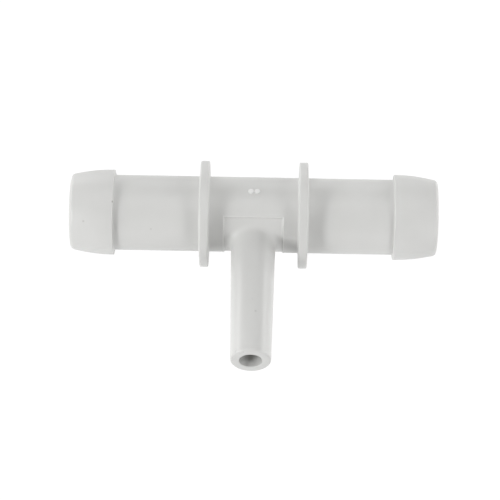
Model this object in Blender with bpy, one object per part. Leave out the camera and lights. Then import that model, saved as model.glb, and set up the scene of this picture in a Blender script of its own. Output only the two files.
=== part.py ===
"""Barbed reducing tee for soft irrigation hose.

A straight run with a barbed end on each side, two stop collars round its middle, and a thinner
tapered branch. The real fitting is one moulding, and each object here is one of its regions, cut
along the moulding's own feature lines. The run lies along X and the branch points along -Y. The
origin is the middle of the base of the bounding box, so the collars rest on the plane z = 0.
Lengths are in metres.
"""

import math

import bmesh
import bpy
from mathutils import Vector

MM = 0.001

# Run: a plain tube with a barb at each end. Distances along it are counted from its middle.
RUN_RADIUS = 8.0 * MM
HALF_LENGTH = 38.95 * MM
SHOULDER_X = 29.65 * MM
BARB_RADIUS = 9.08 * MM
BARB_LAND = 2.0 * MM
LAND_DROP = 0.05 * MM
BARB_NOSE_RADIUS = 8.15 * MM
BARB_CROWN = 0.14 * MM
NOSE_ROUND = 1.05 * MM

# Stop collars, which a pushed-on hose meets.
COLLAR_RADIUS = 11.33 * MM
COLLAR_MID_X = 10.475 * MM
COLLAR_THICKNESS = 1.9 * MM
COLLAR_ROUND = 0.35 * MM
COLLAR_INNER_X = COLLAR_MID_X - COLLAR_THICKNESS / 2
COLLAR_OUTER_X = COLLAR_MID_X + COLLAR_THICKNESS / 2

# The ring of a collar's outer face that the hose's end meets starts just outside the tube.
SEAT_RADIUS = RUN_RADIUS + 0.1 * MM
SEAT_STEP = 0.1 * MM

# Waterway of the run: straight between the collars, then widening towards each end.
BORE_RADIUS = 6.2 * MM
BORE_DRAFT = math.radians(0.5)

# Branch: a tapered tube, whose waterway narrows inwards from the tip. Reach is the distance from the
# run's axis.
BRANCH_REACH = 36.6 * MM
BRANCH_TIP_RADIUS = 4.24 * MM
BRANCH_DRAFT = math.radians(0.9)
BRANCH_TIP_ROUND = 0.5 * MM
BRANCH_MOUTH_RADIUS = 2.4 * MM
BRANCH_MOUTH_ROUND = 0.12 * MM

# Saddle: the slightly sunk field round the root of the branch. The root's fillet is smallest at the branch's
# sides and largest above and below, where the field bends away.
SADDLE_RADIUS = 7.8 * MM
SADDLE_HALF_WIDTH = 6.3 * MM
SADDLE_HALF_ANGLE = math.radians(51.7)
SIDE_FILLET = 1.0 * MM
TOP_FILLET = 2.6 * MM
SADDLE_REACH = 10.0 * MM

# Gap kept between two regions that meet in the real moulding.
GAP = 0.3 * MM

RUN_SEGMENTS = 48
BRANCH_SEGMENTS = 32
SADDLE_COLUMNS = 48
ROUND_STEPS = 3
CROWN_STEPS = 5
FILLET_STEPS = 6
FIELD_STEPS = 3
SOLVER_STEPS = 50
SHARP_ANGLE = math.radians(30.0)

# The run's axis: the branch tip and the collars' back rims are equally far from the origin.
RUN_AXIS = Vector((0.0, (BRANCH_REACH - COLLAR_RADIUS) / 2, COLLAR_RADIUS))

LIGHT_GREY = (0.60, 0.60, 0.59, 1.0)
ROUGHNESS = 0.45


def bore_radius(x):
    """Radius of the run's waterway at a distance x from the middle."""
    return BORE_RADIUS + max(0.0, abs(x) - COLLAR_INNER_X) * math.tan(BORE_DRAFT)


def branch_radius(reach):
    """Outer radius of the branch at a distance from the run's axis."""
    return BRANCH_TIP_RADIUS + (BRANCH_REACH - reach) * math.tan(BRANCH_DRAFT)


def branch_bore_radius(reach):
    """Radius of the branch's waterway at a distance from the run's axis."""
    return BRANCH_MOUTH_RADIUS - (BRANCH_REACH - reach) * math.tan(BORE_DRAFT)


def arc(centre, radius, start, end, steps):
    """Points of an arc from one angle to another, in degrees, both ends included."""
    points = []
    for step in range(steps + 1):
        angle = math.radians(start + (end - start) * step / steps)
        points.append((centre[0] + radius * math.cos(angle), centre[1] + radius * math.sin(angle)))
    return points


def plastic(name):
    """Satin light grey plastic."""
    material = bpy.data.materials.new(name)
    material.use_nodes = True
    shader = material.node_tree.nodes["Principled BSDF"]
    shader.inputs["Base Color"].default_value = LIGHT_GREY
    shader.inputs["Roughness"].default_value = ROUGHNESS
    shader.inputs["Metallic"].default_value = 0.0
    return material


def add_object(name, bm, parent, turn=0.0):
    """Finishes a closed mesh and places it as a named object under the run's axis."""
    bmesh.ops.recalc_face_normals(bm, faces=bm.faces)
    mesh = bpy.data.meshes.new(name)
    bm.to_mesh(mesh)
    bm.free()
    mesh.shade_smooth()
    mesh.set_sharp_from_angle(angle=SHARP_ANGLE)
    mesh.materials.append(plastic(name + "_plastic"))
    obj = bpy.data.objects.new(name, mesh)
    obj.parent = parent
    obj.rotation_euler = (0.0, 0.0, turn)
    bpy.context.scene.collection.objects.link(obj)
    return obj


def turned(name, profile, segments, parent, turn=0.0):
    """Spins a closed outline of (distance along the axis, radius) points round its local X axis."""
    bm = bmesh.new()
    verts = [bm.verts.new((along, 0.0, radius)) for along, radius in profile]
    edges = [bm.edges.new((a, b)) for a, b in zip(verts, verts[1:] + verts[:1])]
    bmesh.ops.spin(
        bm,
        geom=verts + edges,
        cent=(0.0, 0.0, 0.0),
        axis=(1.0, 0.0, 0.0),
        angle=2 * math.pi,
        steps=segments,
        use_merge=True,
    )
    return add_object(name, bm, parent, turn)


def run_centre(parent):
    """The tube between the collars, with a window for the saddle."""
    half = COLLAR_INNER_X - GAP
    profile = [(-half, BORE_RADIUS), (half, BORE_RADIUS), (half, RUN_RADIUS), (-half, RUN_RADIUS)]
    tube = turned("run_centre", profile, RUN_SEGMENTS, parent)

    # The cutter is a wedge from the run's axis, wider than the saddle by the gap on every side.
    half_angle = SADDLE_HALF_ANGLE + GAP / BORE_RADIUS
    half_width = SADDLE_HALF_WIDTH + GAP
    reach = 2 * RUN_RADIUS
    corners = [(0.0, 0.0)]
    for angle in (-half_angle, 0.0, half_angle):
        corners.append((-reach * math.cos(angle), reach * math.sin(angle)))
    bm = bmesh.new()
    base = bm.faces.new([bm.verts.new((-half_width, y, z)) for y, z in corners])
    extruded = bmesh.ops.extrude_face_region(bm, geom=[base])
    moved = [item for item in extruded["geom"] if isinstance(item, bmesh.types.BMVert)]
    bmesh.ops.translate(bm, verts=moved, vec=(2 * half_width, 0.0, 0.0))
    cutter = add_object("saddle_window_cutter", bm, parent)
    cutter.hide_render = True
    cutter.display_type = "WIRE"

    window = tube.modifiers.new("saddle_window", "BOOLEAN")
    window.operation = "DIFFERENCE"
    window.solver = "EXACT"
    window.object = cutter


def stop_collar(name, side, parent):
    """A round flange with softened rim edges. Its outer face is sunk a little where the tube joins it."""
    rim = COLLAR_RADIUS - COLLAR_ROUND
    outer_x = COLLAR_OUTER_X - COLLAR_ROUND
    inner_x = COLLAR_INNER_X + COLLAR_ROUND
    sunk_x = COLLAR_OUTER_X - SEAT_STEP
    profile = [(COLLAR_INNER_X, bore_radius(COLLAR_INNER_X)), (sunk_x, bore_radius(sunk_x))]
    profile += [(sunk_x, SEAT_RADIUS), (COLLAR_OUTER_X, SEAT_RADIUS)]
    profile += arc((outer_x, rim), COLLAR_ROUND, 0, 90, ROUND_STEPS)
    profile += arc((inner_x, rim), COLLAR_ROUND, 90, 180, ROUND_STEPS)
    turned(name, [(side * x, radius) for x, radius in profile], RUN_SEGMENTS, parent)


def hose_spigot(name, side, parent):
    """The plain tube that the hose grips, from a collar to the barb's shoulder."""
    start = COLLAR_OUTER_X + GAP
    end = SHOULDER_X - GAP
    profile = [(start, bore_radius(start)), (end, bore_radius(end)), (end, RUN_RADIUS), (start, RUN_RADIUS)]
    turned(name, [(side * x, radius) for x, radius in profile], RUN_SEGMENTS, parent)


def barb_head(name, side, parent):
    """The barb: a square shoulder, a short land, a crowned cone and a rounded nose."""
    land_x = SHOULDER_X + BARB_LAND
    nose_x = HALF_LENGTH - NOSE_ROUND
    land_radius = BARB_RADIUS - LAND_DROP
    cone_angle = math.degrees(math.atan2(land_radius - BARB_NOSE_RADIUS, nose_x - land_x))
    centre = (nose_x, BARB_NOSE_RADIUS - NOSE_ROUND)
    profile = [(SHOULDER_X, bore_radius(SHOULDER_X)), (HALF_LENGTH, bore_radius(HALF_LENGTH))]
    profile += arc(centre, NOSE_ROUND, 0, 90 - cone_angle, ROUND_STEPS + 1)
    for step in range(1, CROWN_STEPS + 1):
        share = step / CROWN_STEPS
        radius = BARB_NOSE_RADIUS + (land_radius - BARB_NOSE_RADIUS) * share
        crown = 4 * BARB_CROWN * share * (1 - share)
        profile.append((nose_x + (land_x - nose_x) * share, radius + crown))
    profile.append((SHOULDER_X, BARB_RADIUS))
    turned(name, [(side * x, radius) for x, radius in profile], RUN_SEGMENTS, parent)


def fillet_points(phi):
    """The root fillet in the half-plane at angle phi round the branch, from the branch to the saddle.

    In that plane the saddle's surface is an ellipse. The fillet is an arc that touches it and the
    branch. The place where it touches the ellipse is found by halving. Points are (radius, reach).
    """
    bend = math.sin(phi) ** 2
    fillet = SIDE_FILLET + (TOP_FILLET - SIDE_FILLET) * bend
    taper = (math.cos(BRANCH_DRAFT), math.sin(BRANCH_DRAFT))

    def centre_for(foot):
        reach = math.sqrt(SADDLE_RADIUS**2 - bend * foot**2)
        normal = Vector((bend * foot, reach)).normalized()
        return (foot + fillet * normal.x, reach + fillet * normal.y), normal

    low = branch_radius(SADDLE_RADIUS)
    high = SADDLE_HALF_WIDTH
    for _ in range(SOLVER_STEPS):
        foot = (low + high) / 2
        centre, normal = centre_for(foot)
        if centre[0] - fillet / taper[0] < branch_radius(centre[1]):
            low = foot
        else:
            high = foot
    start = math.degrees(math.atan2(-taper[1], -taper[0]))
    end = math.degrees(math.atan2(-normal.y, -normal.x))
    return arc(centre, fillet, start % 360, end % 360, FILLET_STEPS)


def on_run(radius, x, theta):
    """A point of a cylinder round the run's axis, theta counted from the branch towards +Z."""
    return (x, -radius * math.cos(theta), radius * math.sin(theta))


def saddle_column(phi):
    """One closed loop of the saddle's surface, in the direction phi round the branch."""
    side = Vector((math.cos(phi), math.sin(phi)))

    def on_branch(radius, reach):
        return (radius * side.x, -reach, radius * side.y)

    longest = max(abs(side.x), abs(side.y))
    edge = Vector((SADDLE_HALF_WIDTH * side.x, SADDLE_HALF_ANGLE * side.y)) / longest
    fillet = fillet_points(phi)
    foot_radius = fillet[-1][0]
    foot = Vector((foot_radius * side.x, math.asin(foot_radius * side.y / SADDLE_RADIUS)))
    bore = branch_bore_radius(BORE_RADIUS)
    mouth = Vector((bore * side.x, math.asin(bore * side.y / BORE_RADIUS)))

    loop = [on_branch(branch_bore_radius(SADDLE_REACH), SADDLE_REACH)]
    loop.append(on_branch(branch_radius(SADDLE_REACH), SADDLE_REACH))
    loop += [on_branch(radius, reach) for radius, reach in fillet]
    for step in range(1, FIELD_STEPS + 1):
        loop.append(on_run(SADDLE_RADIUS, *foot.lerp(edge, step / FIELD_STEPS)))
    for step in range(FIELD_STEPS + 1):
        loop.append(on_run(BORE_RADIUS, *edge.lerp(mouth, step / FIELD_STEPS)))
    return loop


def branch_saddle(parent):
    """The sunk field with the branch's root, through the full wall of the run."""
    bm = bmesh.new()
    columns = []
    for index in range(SADDLE_COLUMNS):
        loop = saddle_column(2 * math.pi * index / SADDLE_COLUMNS)
        columns.append([bm.verts.new(point) for point in loop])
    rows = len(columns[0])
    for here, beside in zip(columns, columns[1:] + columns[:1]):
        for row in range(rows):
            after = (row + 1) % rows
            bm.faces.new((here[row], beside[row], beside[after], here[after]))
    add_object("branch_saddle", bm, parent)


def branch_spigot(parent):
    """The tapered tube of the branch, rounded at its tip and at its mouth."""
    start = SADDLE_REACH + GAP
    tip_x = BRANCH_REACH - BRANCH_TIP_ROUND
    tip_radius = branch_radius(tip_x)
    mouth = (BRANCH_REACH - BRANCH_MOUTH_ROUND, BRANCH_MOUTH_RADIUS + BRANCH_MOUTH_ROUND)
    profile = [(start, branch_bore_radius(start))]
    profile += arc(mouth, BRANCH_MOUTH_ROUND, 270, 360, ROUND_STEPS)
    profile += arc((tip_x, tip_radius - BRANCH_TIP_ROUND), BRANCH_TIP_ROUND, 0, 90, ROUND_STEPS + 1)
    profile.append((start, branch_radius(start)))
    turned("branch_spigot", profile, BRANCH_SEGMENTS, parent, turn=-math.pi / 2)


def main():
    for obj in list(bpy.data.objects):
        bpy.data.objects.remove(obj)
    run_axis = bpy.data.objects.new("run_axis", None)
    run_axis.location = RUN_AXIS
    bpy.context.scene.collection.objects.link(run_axis)

    run_centre(run_axis)
    for name, side in (("left", -1), ("right", 1)):
        stop_collar("stop_collar_" + name, side, run_axis)
        hose_spigot("hose_spigot_" + name, side, run_axis)
        barb_head("barb_head_" + name, side, run_axis)
    branch_saddle(run_axis)
    branch_spigot(run_axis)


main()
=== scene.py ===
"""Looks of the barbed tee connector: the moulded surfaces, their plastic, the studio and the camera.

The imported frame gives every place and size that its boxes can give. The run lies along X, the branch
points along -Y, and the tee rests on the plane z = 0. Lengths are in metres.
"""

import math

import bmesh
import bpy
from mathutils import Matrix, Vector


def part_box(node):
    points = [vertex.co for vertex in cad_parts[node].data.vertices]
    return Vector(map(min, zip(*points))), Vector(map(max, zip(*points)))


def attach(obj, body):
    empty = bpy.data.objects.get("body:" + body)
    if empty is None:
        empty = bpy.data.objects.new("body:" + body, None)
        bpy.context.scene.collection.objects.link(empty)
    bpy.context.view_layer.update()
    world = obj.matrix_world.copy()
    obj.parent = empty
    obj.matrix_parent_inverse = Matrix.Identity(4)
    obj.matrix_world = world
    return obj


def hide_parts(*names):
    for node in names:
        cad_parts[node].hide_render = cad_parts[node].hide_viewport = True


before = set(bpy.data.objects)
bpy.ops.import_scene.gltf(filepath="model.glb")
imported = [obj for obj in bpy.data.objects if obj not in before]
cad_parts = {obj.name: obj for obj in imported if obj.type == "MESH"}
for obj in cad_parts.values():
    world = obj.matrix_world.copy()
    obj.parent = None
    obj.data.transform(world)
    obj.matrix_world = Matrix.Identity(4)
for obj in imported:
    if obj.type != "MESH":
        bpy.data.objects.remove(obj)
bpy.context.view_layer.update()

MM = 0.001
BODY = "root"

# Sizes read from the frame.
collar_low, collar_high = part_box("stop_collar_right")
tube_low, tube_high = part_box("hose_spigot_right")
barb_low, barb_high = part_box("barb_head_right")
saddle_low, saddle_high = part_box("branch_saddle")
branch_low, branch_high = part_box("branch_spigot")
RUN_MIDDLE = Vector((0.0, (collar_low.y + collar_high.y) / 2, (collar_low.z + collar_high.z) / 2))
RUN_RADIUS = (tube_high.z - tube_low.z) / 2
COLLAR_RADIUS = (collar_high.z - collar_low.z) / 2
COLLAR_INNER_X = collar_low.x
COLLAR_OUTER_X = collar_high.x
SHOULDER_X = barb_low.x
END_X = barb_high.x
BARB_RADIUS = (barb_high.z - barb_low.z) / 2
SADDLE_HALF_WIDTH = saddle_high.x
SADDLE_REACH = RUN_MIDDLE.y - saddle_low.y
BRANCH_REACH = RUN_MIDDLE.y - branch_low.y
BRANCH_START = RUN_MIDDLE.y - branch_high.y
BRANCH_START_RADIUS = (branch_high.z - branch_low.z) / 2

# Sizes that no box shows.
BORE_RADIUS = 6.2 * MM
BORE_DRAFT = math.radians(0.5)
BARB_LAND = 2.0 * MM
LAND_DROP = 0.05 * MM
BARB_NOSE_RADIUS = 8.15 * MM
BARB_CROWN = 0.14 * MM
NOSE_ROUND = 1.05 * MM
LAND_X = SHOULDER_X + BARB_LAND
LAND_RADIUS = BARB_RADIUS - LAND_DROP
NOSE_X = END_X - NOSE_ROUND
COLLAR_ROUND = 0.35 * MM
BRANCH_DRAFT = math.radians(0.9)
BRANCH_TIP_ROUND = 0.5 * MM
BRANCH_MOUTH_RADIUS = 2.4 * MM
BRANCH_MOUTH_ROUND = 0.12 * MM
SADDLE_RADIUS = 7.8 * MM
SADDLE_HALF_ANGLE = math.radians(51.7)
SIDE_FILLET = 1.3 * MM
TOP_FILLET = 2.6 * MM

# Fine detail of the moulding.
SHOULDER_EDGE_ROUND = 0.2 * MM
BORE_EDGE_ROUND = 0.25 * MM
COLLAR_ROOT_ROUND = 0.35 * MM
SHOULDER_ROOT_ROUND = 0.12 * MM
FIELD_RAMP = 0.5 * MM
CREASE_DEPTH = 0.018 * MM
CREASE_WIDTH = 0.5 * MM
CREASE_INSET = 0.5 * MM
PARTING_HEIGHT = 0.03 * MM
PARTING_HALF_ANGLE = math.radians(1.0)
WITNESS_HEIGHT = 0.1 * MM
WITNESS_WIDTH = 0.24 * MM
PIP_RADIUS = 0.58 * MM
PIP_HEIGHT = 0.3 * MM
PIP_SINK = 0.1 * MM
PIP_ROUND = 0.1 * MM
PIP_SPACING = 1.3 * MM
PIP_ANGLE = math.radians(92.6)
SPECK_RADIUS = 0.32 * MM
SPECK_CORE = 0.3 * SPECK_RADIUS

# Mesh fineness.
RUN_STEP = math.radians(1.5)
RIDGE_SHARES = (-1.0, -0.66, -0.33, 0.33, 0.66, 1.0)
BRANCH_STEPS = 160
SADDLE_COLUMNS = 256
COLLAR_BORE_STEPS = 2
FLAT_STEPS = 3
ROUND_STEPS = 6
CURVE_STEPS = 14
FIELD_STEPS = 12
RIDGE_STEPS = 6
SOLVER_STEPS = 50
PIP_SIDES = 32
SHARP_ANGLE = math.radians(32.0)

# The plastic. Raised marks carry a painted highlight: they are paler, by an amount that each of their
# vertices carries. Along the branch the roughness falls by BRANCH_POLISH, between two distances from the
# run's axis.
PAINTED_HIGHLIGHT = "painted_highlight"
PLASTIC_IOR = 1.48
CLOUD_TINTS = ((0.580, 0.580, 0.567, 1.0), (0.620, 0.620, 0.608, 1.0))
# Colour of the painted highlight on the raised marks: the witness ridge and the pips.
HIGHLIGHT_TINT = (0.740, 0.740, 0.730, 1.0)
SPECK_TINT = (0.300, 0.290, 0.270, 1.0)
ROUGHNESS_RANGE = (0.38, 0.52)
BRANCH_POLISH = 0.15
POLISH_START = 8.0 * MM
POLISH_END = 15.0 * MM
CLOUD_SCALE = 160.0
PATCH_SCALE = 400.0
GRAIN_SCALE = 2600.0
GRAIN_DEPTH = 0.02 * MM
GRAIN_STRENGTH = 0.12

# Camera: its direction from the middle of the run, its distance, its lens and how far its aim is off.
CAMERA_ELEVATION = math.radians(56.0)
CAMERA_YAW = math.radians(-0.36)
CAMERA_ROLL = math.radians(1.08)
CAMERA_DISTANCE = 557.0 * MM
CAMERA_LENS = 188.0
CAMERA_SENSOR = 36.0
CLIP_START = 10.0 * MM
CLIP_END = 20.0
AIM_LEFT = 0.83 * MM
AIM_BELOW = 7.52 * MM

# Studio: the floor's paint is dark but glows white, so that the lamps leave it even. The surround is
# black, and every lamp is at one distance from the middle of the run.
LAMP_DISTANCE = 1.0
FLOOR_COLOUR = (0.1, 0.1, 0.1, 1.0)
FLOOR_ROUGHNESS = 0.9
GLOW_COLOUR = (1.0, 1.0, 1.0, 1.0)
FLOOR_GLOW = 0.93
FLOOR_HALF_SIZE = 3.0

# Soft lamps: name, azimuth and elevation in degrees, width, height, and brightness as a radiance.
# Azimuth 0 is in front of the branch and 90 to the right. Past 90 of elevation is behind the top.
LAMPS = (
    ("key_left", -55.0, 22.0, 0.28, 0.28, 20.9),
    ("soft_left", -75.0, 14.0, 0.35, 0.30, 4.8),
    ("side_left", -120.0, 14.0, 0.35, 0.30, 3.0),
    ("rim_left", -150.0, 14.0, 0.35, 0.30, 7.3),
    ("low_right", 45.0, 13.0, 0.35, 0.30, 6.4),
    ("high_right", 65.0, 35.0, 0.40, 0.40, 3.3),
    ("side_right", 100.0, 13.0, 0.35, 0.30, 6.7),
    ("rim_right", 130.0, 13.0, 0.35, 0.30, 4.6),
    ("back", 180.0, 20.0, 0.50, 0.35, 2.6),
    ("top", 0.0, 83.0, 0.50, 0.50, 2.8),
    ("top_back", 0.0, 100.0, 1.60, 0.35, 2.1),
)


def arc(centre, radius, start, end, steps):
    """Points of an arc from one angle to another, in degrees, both ends included."""
    points = []
    for step in range(steps + 1):
        angle = math.radians(start + (end - start) * step / steps)
        points.append((centre[0] + radius * math.cos(angle), centre[1] + radius * math.sin(angle)))
    return points


def between(start, end, steps):
    """Evenly spaced numbers, both ends included."""
    return [start + (end - start) * step / steps for step in range(steps + 1)]


def bump(share):
    """A smooth ridge's height, from 0 at share 0 to 1 at share 0.5 and back to 0 at share 1."""
    return math.sin(math.pi * min(1.0, max(0.0, share))) ** 2


def barb_radius(x):
    """Outer radius of a barb's crowned cone at a distance x from the middle."""
    share = (NOSE_X - x) / (NOSE_X - LAND_X)
    straight = BARB_NOSE_RADIUS + (LAND_RADIUS - BARB_NOSE_RADIUS) * share
    return straight + 4 * BARB_CROWN * share * (1 - share)


def bore_radius(x):
    """Radius of the run's waterway at a distance x from the middle."""
    return BORE_RADIUS + max(0.0, abs(x) - COLLAR_INNER_X) * math.tan(BORE_DRAFT)


def branch_radius(reach):
    """Outer radius of the branch at a distance from the run's axis."""
    return BRANCH_START_RADIUS - (reach - BRANCH_START) * math.tan(BRANCH_DRAFT)


def branch_bore_radius(reach):
    """Radius of the branch's waterway, widest at the tip."""
    return BRANCH_MOUTH_RADIUS - (BRANCH_REACH - reach) * math.tan(BORE_DRAFT)


def root_fillet(phi):
    """The root fillet's radius: small at the branch's sides, large where the field bends away."""
    return SIDE_FILLET + (TOP_FILLET - SIDE_FILLET) * math.sin(phi) ** 2


def parting_height(theta):
    """Height of the mould's parting ridge, which lies in the plane of the tee on both sides."""
    away = abs(math.remainder(theta, math.pi))
    return PARTING_HEIGHT * bump(0.5 + 0.5 * away / PARTING_HALF_ANGLE)


def run_angles():
    """Angles round the run, counted from the branch towards +Z, closer together at the ridges."""
    count = round(2 * math.pi / RUN_STEP)
    angles = [2 * math.pi * step / count for step in range(count)]
    for middle in (0.0, math.pi):
        for share in RIDGE_SHARES:
            angles.append((middle + share * PARTING_HALF_ANGLE) % (2 * math.pi))
    return sorted(set(angles))


def finish_piece(name, bm, node=None):
    """Makes a closed mesh into a shown piece with the moulded plastic."""
    bmesh.ops.recalc_face_normals(bm, faces=bm.faces)
    mesh = bpy.data.meshes.new(name)
    bm.to_mesh(mesh)
    bm.free()
    mesh.shade_smooth()
    mesh.set_sharp_from_angle(angle=SHARP_ANGLE)
    mesh.materials.append(moulded_plastic)
    piece = bpy.data.objects.new(name, mesh)
    bpy.context.scene.collection.objects.link(piece)
    weighted = piece.modifiers.new("weighted_normals", "WEIGHTED_NORMAL")
    weighted.keep_sharp = True
    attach(piece, BODY)
    if node:
        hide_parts(node)


def tube_of_loops(loops):
    """Joins a ring of closed loops, each with as many points as the next, into a closed mesh."""
    bm = bmesh.new()
    rings = [[bm.verts.new(point) for point in loop] for loop in loops]
    count = len(rings[0])
    for here, beside in zip(rings, rings[1:] + rings[:1]):
        for index in range(count):
            after = (index + 1) % count
            bm.faces.new((here[index], beside[index], beside[after], here[after]))
    return bm


def on_run(radius, x, theta):
    """A point round the run's axis, theta counted from the branch towards +Z."""
    return RUN_MIDDLE + Vector((x, -radius * math.cos(theta), radius * math.sin(theta)))


def on_branch(radius, reach, phi):
    """A point round the branch's axis, phi counted from +X towards +Z."""
    return RUN_MIDDLE + Vector((radius * math.cos(phi), -reach, radius * math.sin(phi)))


def turn_round_run(outline, skin, side):
    """Turns a closed outline of (x, radius) round the run, on the left for a side of -1.

    The points whose index is in skin carry the parting ridge.
    """
    count = len(outline)
    lifts = []
    for index in range(count):
        before = outline[index - 1]
        after = outline[(index + 1) % count]
        normal = Vector((before[1] - after[1], after[0] - before[0]))
        lifts.append(-normal.normalized() if index in skin else Vector((0.0, 0.0)))
    loops = []
    for theta in run_angles():
        height = parting_height(theta)
        loop = []
        for (x, radius), lift in zip(outline, lifts):
            loop.append(on_run(radius + height * lift.y, side * (x + height * lift.x), theta))
        loops.append(loop)
    return tube_of_loops(loops)


def hose_spigot(name, side):
    """The plain tube that the hose grips, with a small fillet at the collar and at the shoulder."""
    outline = [(x, bore_radius(x)) for x in between(COLLAR_OUTER_X, SHOULDER_X, CURVE_STEPS)]
    first_skin = len(outline)
    shoulder_root = (SHOULDER_X - SHOULDER_ROOT_ROUND, RUN_RADIUS + SHOULDER_ROOT_ROUND)
    collar_root = (COLLAR_OUTER_X + COLLAR_ROOT_ROUND, RUN_RADIUS + COLLAR_ROOT_ROUND)
    outline += arc(shoulder_root, SHOULDER_ROOT_ROUND, 0, -90, ROUND_STEPS)
    outline += [(x, RUN_RADIUS) for x in between(shoulder_root[0], collar_root[0], CURVE_STEPS)[1:-1]]
    outline += arc(collar_root, COLLAR_ROOT_ROUND, 270, 180, ROUND_STEPS)
    skin = range(first_skin + ROUND_STEPS, len(outline) - ROUND_STEPS)
    bm = turn_round_run(outline, skin, side)
    finish_piece(name + "_fine", bm, name)


def stop_collar(name, side):
    """A round flange with softened rim edges and the parting ridge across its rim."""
    rim = COLLAR_RADIUS - PARTING_HEIGHT - COLLAR_ROUND
    outline = [(x, bore_radius(x)) for x in between(COLLAR_INNER_X, COLLAR_OUTER_X, COLLAR_BORE_STEPS)]
    first_skin = len(outline)
    outline += [(COLLAR_OUTER_X, radius) for radius in between(RUN_RADIUS, rim, FLAT_STEPS)[:-1]]
    outline += arc((COLLAR_OUTER_X - COLLAR_ROUND, rim), COLLAR_ROUND, 0, 90, ROUND_STEPS)
    outline += arc((COLLAR_INNER_X + COLLAR_ROUND, rim), COLLAR_ROUND, 90, 180, ROUND_STEPS)
    outline += [(COLLAR_INNER_X, radius) for radius in between(rim, RUN_RADIUS, FLAT_STEPS)[1:]]
    bm = turn_round_run(outline, range(first_skin + 1, len(outline) - 1), side)
    finish_piece(name + "_fine", bm, name)


def barb_head(name, side):
    """The barb: a square shoulder, a short land, a crowned cone and a rounded nose."""
    cone_angle = math.degrees(math.atan2(LAND_RADIUS - BARB_NOSE_RADIUS, NOSE_X - LAND_X))
    bore_end = END_X - BORE_EDGE_ROUND
    mouth = (bore_end, bore_radius(bore_end) + BORE_EDGE_ROUND)
    nose = (NOSE_X, BARB_NOSE_RADIUS - NOSE_ROUND)
    edge = (SHOULDER_X + SHOULDER_EDGE_ROUND, BARB_RADIUS - SHOULDER_EDGE_ROUND)
    outline = [(x, bore_radius(x)) for x in between(SHOULDER_X, bore_end, CURVE_STEPS)]
    outline += arc(mouth, BORE_EDGE_ROUND, -90, 0, ROUND_STEPS)[1:]
    outline += arc(nose, NOSE_ROUND, 0, 90 - cone_angle, 2 * ROUND_STEPS)
    first_skin = len(outline) - 1
    outline += [(x, barb_radius(x)) for x in between(NOSE_X, LAND_X, CURVE_STEPS)[1:]]
    outline += arc(edge, SHOULDER_EDGE_ROUND, 90, 180, ROUND_STEPS)
    outline.append((SHOULDER_X, RUN_RADIUS))
    # The ridge dies out just before the end of the shoulder's rounded edge.
    bm = turn_round_run(outline, range(first_skin, len(outline) - 3), side)
    finish_piece(name + "_fine", bm, name)


def from_branch(theta):
    """How far an angle round the run, from 0 to a full turn, is from the branch on either side."""
    return min(theta, 2 * math.pi - theta)


def centre_tube():
    """The tube between the collars. Its grid of (x, theta) lines leaves a window for the saddle."""
    ridge = between(0.0, WITNESS_WIDTH, RIDGE_STEPS)
    outer_xs = [SADDLE_HALF_WIDTH + distance for distance in ridge]
    root_start = COLLAR_INNER_X - COLLAR_ROOT_ROUND
    outer_xs += between(outer_xs[-1], root_start, FIELD_STEPS // 2)[1:]
    outer_xs += [x for x, _ in arc((root_start, 0.0), COLLAR_ROOT_ROUND, 90, 0, ROUND_STEPS)][1:]
    inner_xs = between(-SADDLE_HALF_WIDTH, SADDLE_HALF_WIDTH, 2 * FIELD_STEPS)[1:-1]
    xs = sorted([-x for x in outer_xs] + inner_xs + outer_xs)

    ridge_angles = [SADDLE_HALF_ANGLE + distance / RUN_RADIUS for distance in ridge]
    too_low = ridge_angles[0] - RUN_STEP / 2
    too_high = ridge_angles[-1] + RUN_STEP / 2
    angles = [theta for theta in run_angles() if not too_low < from_branch(theta) < too_high]
    angles = sorted(angles + ridge_angles + [2 * math.pi - theta for theta in ridge_angles])

    def in_window(x, theta):
        return abs(x) < SADDLE_HALF_WIDTH and from_branch(theta) < SADDLE_HALF_ANGLE

    def witness(x, theta):
        beyond = (from_branch(theta) - SADDLE_HALF_ANGLE) * RUN_RADIUS
        gap = max(0.0, abs(x) - SADDLE_HALF_WIDTH, beyond)
        return bump(0.5 + 0.5 * gap / WITNESS_WIDTH)

    def skin_radius(x, theta):
        along = max(0.0, abs(x) - root_start)
        root = COLLAR_ROOT_ROUND - math.sqrt(max(0.0, COLLAR_ROOT_ROUND**2 - along**2))
        return RUN_RADIUS + root + max(WITNESS_HEIGHT * witness(x, theta), parting_height(theta))

    bm = bmesh.new()
    painted_highlight = bm.verts.layers.float.new(PAINTED_HIGHLIGHT)
    rows = []
    for x in xs:
        row = []
        for theta in angles:
            outer = bm.verts.new(on_run(skin_radius(x, theta), x, theta))
            # The witness ridge is painted paler, a painted highlight that follows its height.
            outer[painted_highlight] = witness(x, theta)
            inner = bm.verts.new(on_run(BORE_RADIUS, x, theta))
            row.append((outer, inner))
        rows.append(row)
    count = len(angles)
    filled = {}
    for i in range(len(xs) - 1):
        for j in range(count):
            middle_x = (xs[i] + xs[i + 1]) / 2
            following = angles[(j + 1) % count] + (2 * math.pi if j + 1 == count else 0.0)
            filled[i, j] = not in_window(middle_x, (angles[j] + following) / 2)
    for (i, j), solid in filled.items():
        if not solid:
            continue
        after = (j + 1) % count
        corners = [rows[i][j], rows[i + 1][j], rows[i + 1][after], rows[i][after]]
        bm.faces.new([outer for outer, _ in corners])
        bm.faces.new([inner for _, inner in reversed(corners)])
        sides = {
            (i, (j - 1) % count): (0, 1),
            (i, after): (3, 2),
            (i - 1, j): (0, 3),
            (i + 1, j): (1, 2),
        }
        for beside, (first, last) in sides.items():
            if not filled.get(beside, False):
                first_outer, first_inner = corners[first]
                last_outer, last_inner = corners[last]
                bm.faces.new((first_outer, last_outer, last_inner, first_inner))
    loose = [vert for vert in bm.verts if not vert.link_faces]
    bmesh.ops.delete(bm, geom=loose, context="VERTS")
    finish_piece("run_centre_fine", bm, "run_centre")


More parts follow.
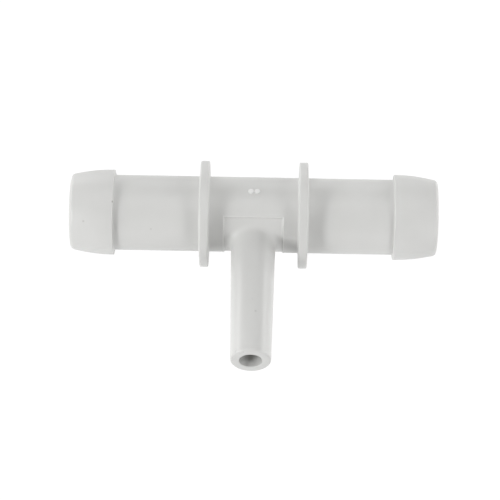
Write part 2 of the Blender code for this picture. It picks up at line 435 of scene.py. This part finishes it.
def fillet_points(phi):
    """The root fillet in the half-plane at angle phi round the branch, from the branch to the saddle.

    In that plane the saddle's surface is an ellipse. The fillet is an arc that touches it and the
    branch. The place where it touches the ellipse is found by halving. Points are (radius, reach).
    """
    bend = math.sin(phi) ** 2
    taper = (math.cos(BRANCH_DRAFT), math.sin(BRANCH_DRAFT))
    fillet = root_fillet(phi)

    def centre_for(foot):
        reach = math.sqrt(SADDLE_RADIUS**2 - bend * foot**2)
        normal = Vector((bend * foot, reach)).normalized()
        return (foot + fillet * normal.x, reach + fillet * normal.y), normal

    low = branch_radius(SADDLE_RADIUS)
    high = low + 2 * SIDE_FILLET
    for _ in range(SOLVER_STEPS):
        foot = (low + high) / 2
        centre, normal = centre_for(foot)
        if centre[0] - fillet / taper[0] < branch_radius(centre[1]):
            low = foot
        else:
            high = foot
    start = math.degrees(math.atan2(-taper[1], -taper[0]))
    end = math.degrees(math.atan2(-normal.y, -normal.x))
    return arc(centre, fillet, start % 360, end % 360, CURVE_STEPS)


def field_radius(x, theta):
    """Radius of the sunk field, which has a crease inside its edges and curves up to the tube there."""
    inside = min(SADDLE_HALF_WIDTH - abs(x), (SADDLE_HALF_ANGLE - abs(theta)) * SADDLE_RADIUS)
    ramp = max(0.0, 1.0 - inside / FIELD_RAMP) ** 2
    crease = CREASE_DEPTH * bump(0.5 + (inside - CREASE_INSET) / CREASE_WIDTH)
    return SADDLE_RADIUS + (RUN_RADIUS - SADDLE_RADIUS) * ramp - crease


def saddle_loop(phi):
    """One closed loop of the saddle's surface, in the direction phi round the branch."""
    side = Vector((math.cos(phi), math.sin(phi)))
    longest = max(abs(side.x), abs(side.y))
    edge = Vector((SADDLE_HALF_WIDTH * side.x, SADDLE_HALF_ANGLE * side.y)) / longest
    fillet = fillet_points(phi)
    foot_radius = fillet[-1][0]
    foot = Vector((foot_radius * side.x, math.asin(foot_radius * side.y / SADDLE_RADIUS)))
    bore = branch_bore_radius(BORE_RADIUS)
    mouth = Vector((bore * side.x, math.asin(bore * side.y / BORE_RADIUS)))

    loop = [on_branch(branch_bore_radius(SADDLE_REACH), SADDLE_REACH, phi)]
    for reach in between(SADDLE_REACH, fillet[0][1], FLAT_STEPS)[:-1]:
        loop.append(on_branch(branch_radius(reach), reach, phi))
    loop += [on_branch(radius, reach, phi) for radius, reach in fillet]
    # The points lie closer together towards the edge, where the field bends most.
    for share in between(0.0, 1.0, FIELD_STEPS)[1:]:
        x, theta = foot.lerp(edge, 1.0 - (1.0 - share) ** 2)
        loop.append(on_run(field_radius(x, theta), x, theta))
    for share in between(0.0, 1.0, FIELD_STEPS):
        loop.append(on_run(BORE_RADIUS, *edge.lerp(mouth, share)))
    return loop


def branch_saddle():
    """The sunk field round the root of the branch, with the root's fillet."""
    loops = [saddle_loop(2 * math.pi * step / SADDLE_COLUMNS) for step in range(SADDLE_COLUMNS)]
    finish_piece("branch_saddle_fine", tube_of_loops(loops), "branch_saddle")


def branch_spigot():
    """The tapered tube of the branch, rounded at its tip and at its mouth."""
    tip = BRANCH_REACH - BRANCH_TIP_ROUND
    tip_radius = branch_radius(tip)
    mouth = BRANCH_REACH - BRANCH_MOUTH_ROUND
    outline = [(reach, branch_bore_radius(reach)) for reach in between(SADDLE_REACH, mouth, CURVE_STEPS)]
    mouth_edge = (mouth, BRANCH_MOUTH_RADIUS + BRANCH_MOUTH_ROUND)
    outline += arc(mouth_edge, BRANCH_MOUTH_ROUND, 270, 360, ROUND_STEPS)
    outline += arc((tip, tip_radius - BRANCH_TIP_ROUND), BRANCH_TIP_ROUND, 0, 90, 2 * ROUND_STEPS)
    outline += [(reach, branch_radius(reach)) for reach in between(tip, SADDLE_REACH, CURVE_STEPS)[1:]]
    loops = []
    for step in range(BRANCH_STEPS):
        phi = 2 * math.pi * step / BRANCH_STEPS
        loops.append([on_branch(radius, reach, phi) for reach, radius in outline])
    finish_piece("branch_spigot_fine", tube_of_loops(loops), "branch_spigot")


def cavity_pips():
    """Two plain raised pips on top of the centre tube, in place of its moulded mark, with a painted
    highlight.
    """
    out = on_run(1.0, 0.0, PIP_ANGLE) - RUN_MIDDLE
    across = Vector((1.0, 0.0, 0.0))
    upward = out.cross(across)
    rim = (PIP_RADIUS - PIP_ROUND, PIP_HEIGHT - PIP_ROUND)
    outline = [(PIP_RADIUS, -PIP_SINK)] + arc(rim, PIP_ROUND, 0, 90, ROUND_STEPS)
    bm = bmesh.new()
    painted_highlight = bm.verts.layers.float.new(PAINTED_HIGHLIGHT)
    for x in (-PIP_SPACING / 2, PIP_SPACING / 2):
        foot = on_run(RUN_RADIUS, x, PIP_ANGLE)
        rings = []
        for radius, height in outline:
            ring = []
            for step in range(PIP_SIDES):
                angle = 2 * math.pi * step / PIP_SIDES
                sideways = across * math.cos(angle) + upward * math.sin(angle)
                ring.append(bm.verts.new(foot + sideways * radius + out * height))
            rings.append(ring)
        for lower, upper in zip(rings, rings[1:]):
            for index in range(PIP_SIDES):
                after = (index + 1) % PIP_SIDES
                bm.faces.new((lower[index], lower[after], upper[after], upper[index]))
        bm.faces.new(rings[0])
        bm.faces.new(rings[-1])
    # Every pip vertex carries the full painted highlight.
    for vert in bm.verts:
        vert[painted_highlight] = 1.0
    finish_piece("cavity_pips", bm)


def specks():
    """The few dark specks in the plastic: where each one is and how strongly it shows."""
    return (
        (on_run(barb_radius(35.8 * MM), -35.8 * MM, math.radians(41.6)), 0.35),
        (on_run(BARB_RADIUS, -SHOULDER_X, math.radians(69.4)), 1.0),
        (on_run(RUN_RADIUS, -21.6 * MM, math.radians(30.0)), 0.25),
        (on_run(RUN_RADIUS, 24.0 * MM, math.radians(-70.0)), 0.5),
        (on_run(barb_radius(35.0 * MM), 35.0 * MM, math.radians(170.0)), 0.5),
        (on_branch(branch_radius(27.1 * MM), 27.1 * MM, math.radians(79.2)), 0.3),
    )


def make_plastic():
    """Satin light grey plastic: faint clouding, a painted highlight on the raised marks, a few specks
    and a fine grain.

    Places on it are in the object's own space, which is the same for every piece of the tee.
    """
    material = bpy.data.materials.new("moulded_plastic")
    material.use_nodes = True
    nodes = material.node_tree.nodes
    links = material.node_tree.links
    shader = nodes["Principled BSDF"]
    shader.inputs["IOR"].default_value = PLASTIC_IOR
    place = nodes.new("ShaderNodeTexCoord").outputs["Object"]

    def noise(scale, detail):
        node = nodes.new("ShaderNodeTexNoise")
        node.inputs["Scale"].default_value = scale
        node.inputs["Detail"].default_value = detail
        links.new(place, node.inputs["Vector"])
        return node.outputs["Fac"]

    def map_range(value, low, high, from_low=0.0, from_high=1.0):
        node = nodes.new("ShaderNodeMapRange")
        node.inputs["From Min"].default_value = from_low
        node.inputs["From Max"].default_value = from_high
        node.inputs["To Min"].default_value = low
        node.inputs["To Max"].default_value = high
        links.new(value, node.inputs["Value"])
        return node.outputs["Result"]

    def blend_to(colour, tint, factor):
        node = nodes.new("ShaderNodeMix")
        node.data_type = "RGBA"
        links.new(colour, node.inputs["A"])
        node.inputs["B"].default_value = tint
        links.new(factor, node.inputs["Factor"])
        return node.outputs["Result"]

    clouds = nodes.new("ShaderNodeMix")
    clouds.data_type = "RGBA"
    clouds.inputs["A"].default_value = CLOUD_TINTS[0]
    clouds.inputs["B"].default_value = CLOUD_TINTS[1]
    links.new(noise(CLOUD_SCALE, detail=3.0), clouds.inputs["Factor"])
    # The raised marks' painted highlight, read from the amount their vertices carry.
    pale = nodes.new("ShaderNodeAttribute")
    pale.attribute_name = PAINTED_HIGHLIGHT
    colour = blend_to(clouds.outputs["Result"], HIGHLIGHT_TINT, pale.outputs["Fac"])
    for spot, strength in specks():
        distance = nodes.new("ShaderNodeVectorMath")
        distance.operation = "DISTANCE"
        distance.inputs[1].default_value = spot
        links.new(place, distance.inputs[0])
        shown = map_range(distance.outputs["Value"], strength, 0.0, SPECK_CORE, SPECK_RADIUS)
        colour = blend_to(colour, SPECK_TINT, shown)
    links.new(colour, shader.inputs["Base Color"])

    parts = nodes.new("ShaderNodeSeparateXYZ")
    links.new(place, parts.inputs["Vector"])
    polish_span = (RUN_MIDDLE.y - POLISH_START, RUN_MIDDLE.y - POLISH_END)
    polish = map_range(parts.outputs["Y"], 0.0, BRANCH_POLISH, *polish_span)
    gloss = nodes.new("ShaderNodeMath")
    gloss.operation = "SUBTRACT"
    links.new(map_range(noise(PATCH_SCALE, detail=4.0), *ROUGHNESS_RANGE), gloss.inputs[0])
    links.new(polish, gloss.inputs[1])
    links.new(gloss.outputs["Value"], shader.inputs["Roughness"])

    relief = nodes.new("ShaderNodeBump")
    relief.inputs["Strength"].default_value = GRAIN_STRENGTH
    relief.inputs["Distance"].default_value = GRAIN_DEPTH
    links.new(noise(GRAIN_SCALE, detail=2.0), relief.inputs["Height"])
    links.new(relief.outputs["Normal"], shader.inputs["Normal"])
    return material


def softbox(name, azimuth, elevation, width, height, brightness):
    """A soft rectangular lamp that faces the middle of the run."""
    lamp = bpy.data.lights.new(name, "AREA")
    lamp.shape = "RECTANGLE"
    lamp.size = width
    lamp.size_y = height
    lamp.energy = brightness * math.pi * width * height
    turn = math.radians(azimuth)
    lift = math.radians(elevation)
    along = Vector((math.cos(turn), math.sin(turn), 0.0))
    away = Vector((math.sin(turn) * math.cos(lift), -math.cos(turn) * math.cos(lift), math.sin(lift)))
    facing = Matrix((along, away.cross(along), away)).transposed()
    obj = bpy.data.objects.new(name, lamp)
    obj.matrix_world = Matrix.Translation(RUN_MIDDLE + away * LAMP_DISTANCE) @ facing.to_4x4()
    bpy.context.scene.collection.objects.link(obj)


def studio():
    """A plain pale floor, a black surround and soft lamps."""
    world = bpy.data.worlds.new("surround")
    world.use_nodes = True
    world.node_tree.nodes["Background"].inputs["Strength"].default_value = 0.0
    bpy.context.scene.world = world

    bm = bmesh.new()
    bmesh.ops.create_grid(bm, x_segments=1, y_segments=1, size=FLOOR_HALF_SIZE)
    mesh = bpy.data.meshes.new("studio_floor")
    bm.to_mesh(mesh)
    bm.free()
    floor = bpy.data.objects.new("studio_floor", mesh)
    bpy.context.scene.collection.objects.link(floor)
    paint = bpy.data.materials.new("pale_floor")
    paint.use_nodes = True
    shader = paint.node_tree.nodes["Principled BSDF"]
    shader.inputs["Base Color"].default_value = FLOOR_COLOUR
    shader.inputs["Roughness"].default_value = FLOOR_ROUGHNESS
    shader.inputs["Emission Color"].default_value = GLOW_COLOUR
    shader.inputs["Emission Strength"].default_value = FLOOR_GLOW
    mesh.materials.append(paint)

    for lamp in LAMPS:
        softbox(*lamp)
    bpy.context.scene.view_settings.view_transform = "Standard"


def camera():
    """A long lens in front of the branch, looking down on the tee."""
    right = Vector((1.0, 0.0, 0.0))
    up = Vector((0.0, math.sin(CAMERA_ELEVATION), math.cos(CAMERA_ELEVATION)))
    toward = Vector((0.0, -math.cos(CAMERA_ELEVATION), math.sin(CAMERA_ELEVATION)))
    level = Matrix((right, up, toward)).transposed()
    turn = Matrix.Rotation(-CAMERA_YAW, 3, "Y") @ Matrix.Rotation(CAMERA_ROLL, 3, "Z")
    pose = level @ turn
    data = bpy.data.cameras.new("camera")
    data.sensor_width = CAMERA_SENSOR
    data.lens = CAMERA_LENS
    data.clip_start = CLIP_START
    data.clip_end = CLIP_END
    obj = bpy.data.objects.new("camera", data)
    place = RUN_MIDDLE + pose @ Vector((-AIM_LEFT, -AIM_BELOW, CAMERA_DISTANCE))
    obj.matrix_world = Matrix.Translation(place) @ pose.to_4x4()
    bpy.context.scene.collection.objects.link(obj)
    bpy.context.scene.camera = obj


camera()
moulded_plastic = make_plastic()
centre_tube()
for end, side in (("left", -1), ("right", 1)):
    stop_collar("stop_collar_" + end, side)
    hose_spigot("hose_spigot_" + end, side)
    barb_head("barb_head_" + end, side)
branch_saddle()
branch_spigot()
cavity_pips()
studio()
